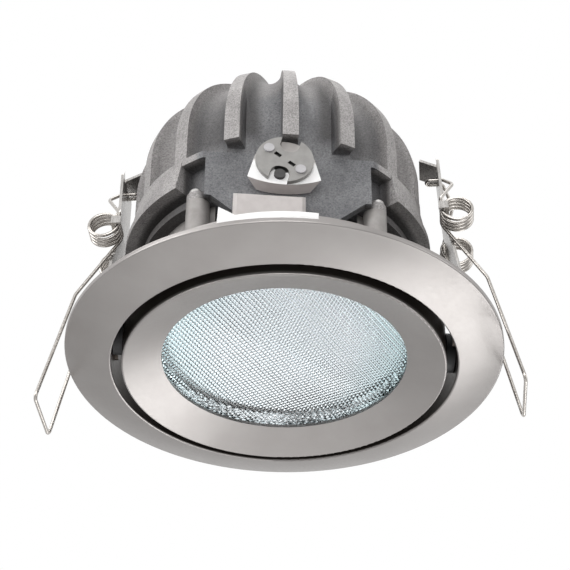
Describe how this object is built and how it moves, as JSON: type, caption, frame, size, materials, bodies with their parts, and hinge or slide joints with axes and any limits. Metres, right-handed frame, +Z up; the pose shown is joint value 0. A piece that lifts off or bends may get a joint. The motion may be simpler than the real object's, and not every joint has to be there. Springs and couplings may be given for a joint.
{
  "type": "recessed ceiling spotlight",
  "caption": "Recessed tilting downlight with a conical bezel, prismatic glass, finned cast heat-sink dome, side lampholder and sprung ceiling clips on bent brackets.",
  "frame": {"origin": "centre of the trim ring's ceiling plane", "axes": "+Z up into the ceiling void along the trim's axis; X along the head's tilt axis; the lampholder faces -Y"},
  "size_m": [0.1652, 0.15, 0.1353],
  "materials": {
    "satin_nickel": "satin nickel lacquer",
    "sheet_steel": "bright zinc plate",
    "spring_wire": "bright nickel plate",
    "fastener_steel": "zinc plate",
    "cast_aluminium": "raw die casting",
    "spun_aluminium": "anodised",
    "carrier_paint": "satin paint",
    "prismatic_glass": "pressed prisms",
    "lamp_glass": "clear",
    "burner": "translucent ceramic",
    "white_ceramic": "glazed ceramic",
    "beige_ceramic": "steatite",
    "seal": "silicone",
    "grey_nylon": "moulded"
  },
  "bodies": {
    "trim": {"trim_ring": "satin_nickel", "right_spring_bracket": "sheet_steel", "left_spring_bracket": "sheet_steel", "bracket_rivets": "fastener_steel", "right_spring_anchor": "spring_wire", "left_spring_anchor": "spring_wire"},
    "head": {"lens_ring": "satin_nickel", "glass_lens": "prismatic_glass", "glass_gasket": "seal", "reflector": "spun_aluminium", "lamp_carrier": "carrier_paint", "carrier_screws": "fastener_steel", "heat_sink_screws": "fastener_steel", "heat_sink": "cast_aluminium", "lampholder_body": "white_ceramic", "lampholder_cap": "beige_ceramic", "lampholder_rivets": "fastener_steel", "lampholder_screw": "fastener_steel", "lamp_base": "white_ceramic", "lamp_bulb": "lamp_glass", "lamp_burner": "burner", "lamp_pins": "fastener_steel", "terminal_block": "beige_ceramic", "left_pivot_screw": "fastener_steel", "right_pivot_screw": "fastener_steel", "left_pivot_washer": "grey_nylon", "right_pivot_washer": "grey_nylon"},
    "right_spring_arm": {"right_spring_arm": "spring_wire"},
    "left_spring_arm": {"left_spring_arm": "spring_wire"}
  },
  "joints": [
    {"name": "head_tilt", "type": "hinge", "parent": "trim", "child": "head", "pos_m": [0, 0, 0.005], "axis": [1, 0, 0], "range_deg": [-20, 20]},
    {"name": "right_spring_swing", "type": "hinge", "parent": "trim", "child": "right_spring_arm", "pos_m": [0.0607, -0.01016, 0.0495], "axis": [-0.165, -0.9863, 0], "range_deg": [0, 150], "stiffness_Nm_per_rad": 0.2},
    {"name": "left_spring_swing", "type": "hinge", "parent": "trim", "child": "left_spring_arm", "pos_m": [-0.0627, 0.01049, 0.0495], "axis": [0.165, 0.9863, 0], "range_deg": [0, 150], "stiffness_Nm_per_rad": 0.2}
  ]
}
